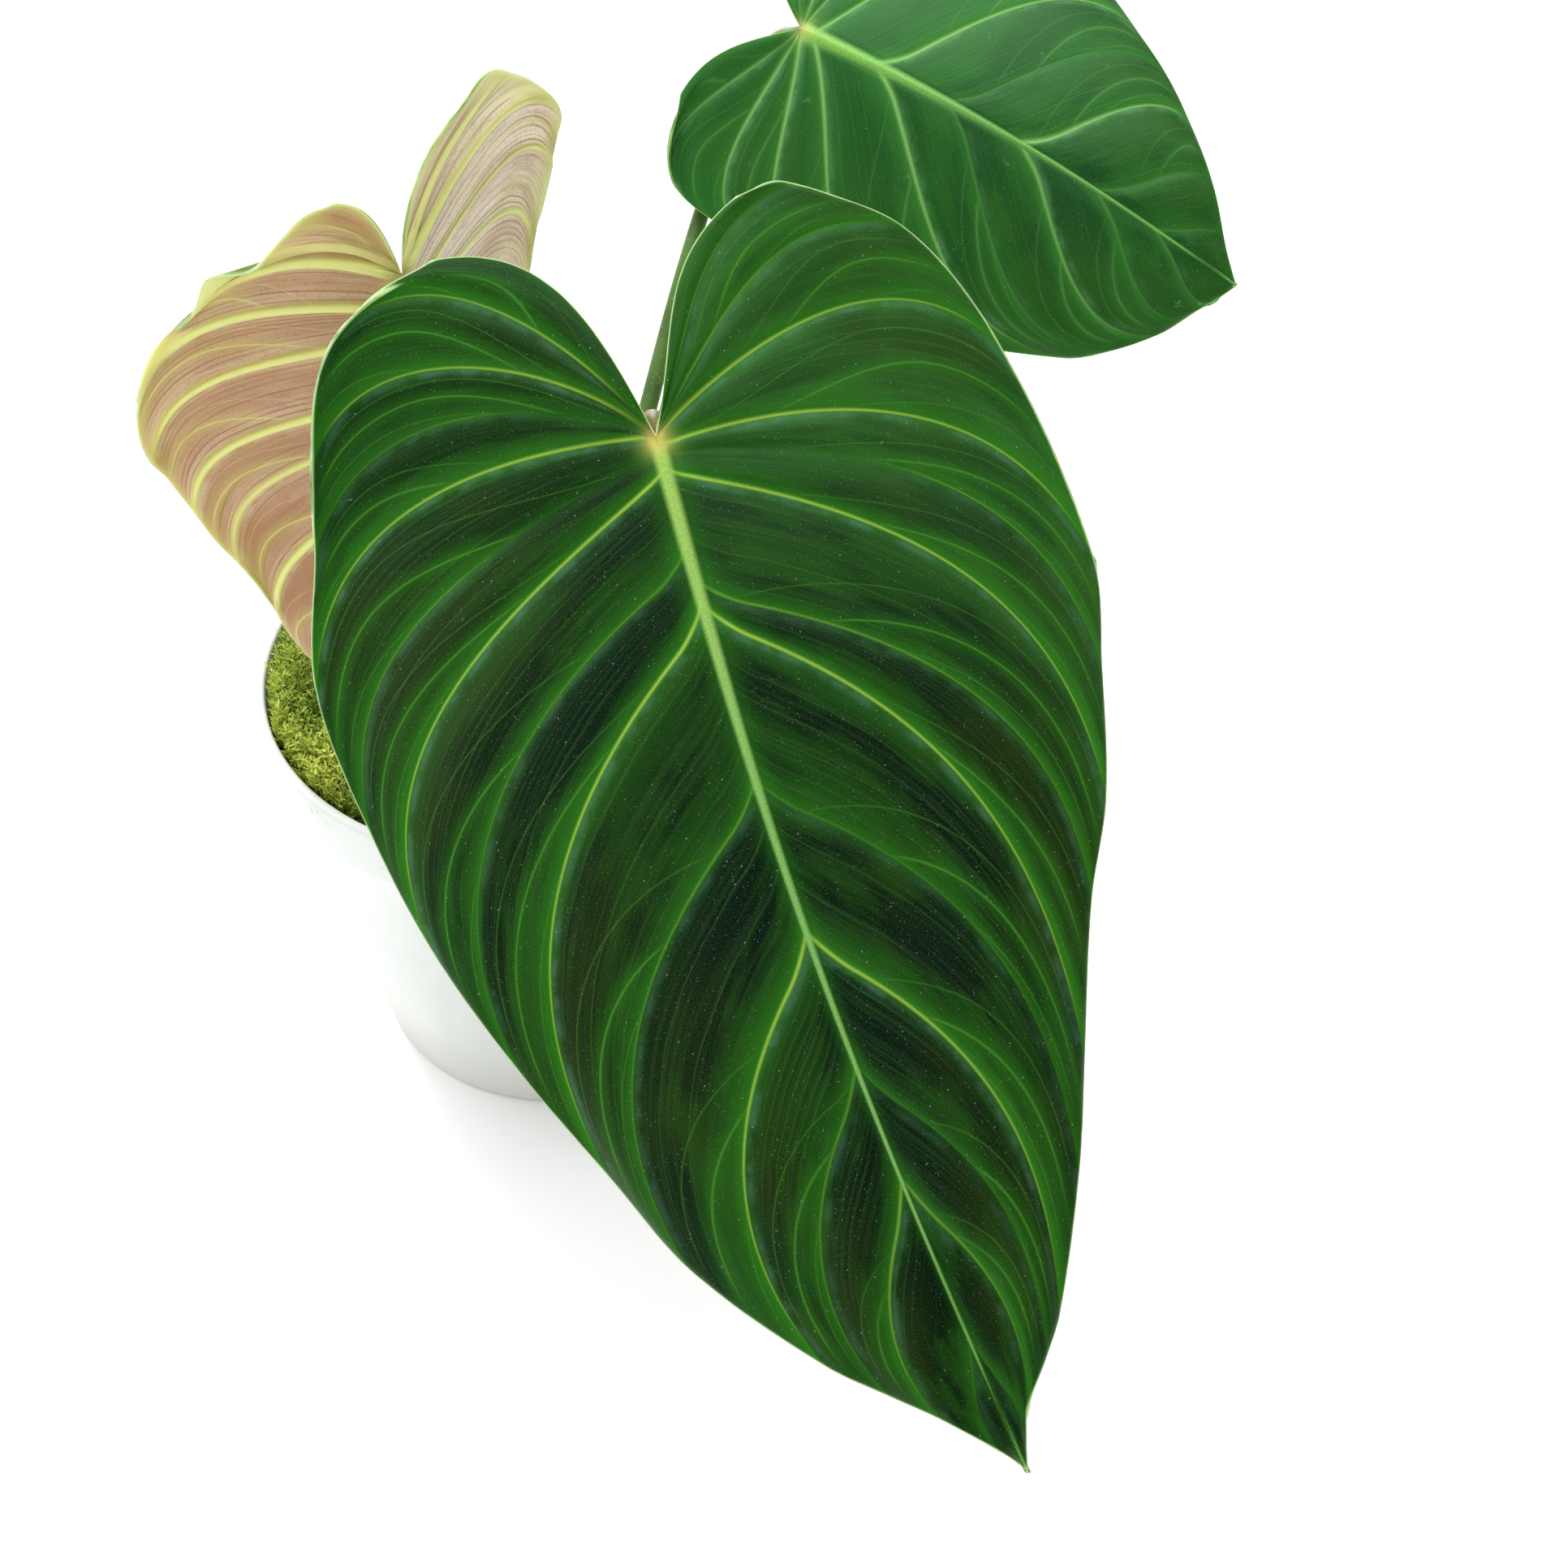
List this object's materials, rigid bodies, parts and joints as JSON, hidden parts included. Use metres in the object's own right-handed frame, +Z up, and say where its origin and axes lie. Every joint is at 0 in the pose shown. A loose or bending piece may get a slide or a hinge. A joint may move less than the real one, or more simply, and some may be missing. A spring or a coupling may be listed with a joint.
{
  "type": "potted philodendron plant",
  "caption": "Young potted philodendron: heart-shaped, pale-veined leaves on long stalks from a short creeping stem, with moss over soil in a plain round pot.",
  "frame": {"origin": "centre of the pot's flat underside", "axes": "+Z up; -Y towards the viewer, the way the largest leaf reaches; +X to the viewer's right"},
  "size_m": [0.2051, 0.31, 0.2533],
  "materials": {
    "pot_plastic": "satin moulded",
    "potting_soil": "crumbly, matt",
    "moss": "soft, matt",
    "stem_skin": "waxy with scars",
    "stalk_skin": "smooth, waxy",
    "dark_blade": "velvety with pale veins",
    "green_blade": "velvety with pale veins",
    "young_blade": "thin, soft, lit through",
    "shoot_sheath": "smooth, waxy"
  },
  "bodies": {
    "root": {"pot": "pot_plastic", "soil": "potting_soil", "moss": "moss", "stem": "stem_skin", "young_shoot": "shoot_sheath", "stalk_front": "stalk_skin", "stalk_right": "stalk_skin", "stalk_left": "stalk_skin", "blade_front": "dark_blade", "blade_right": "green_blade", "blade_left": "young_blade"}
  },
  "joints": []
}
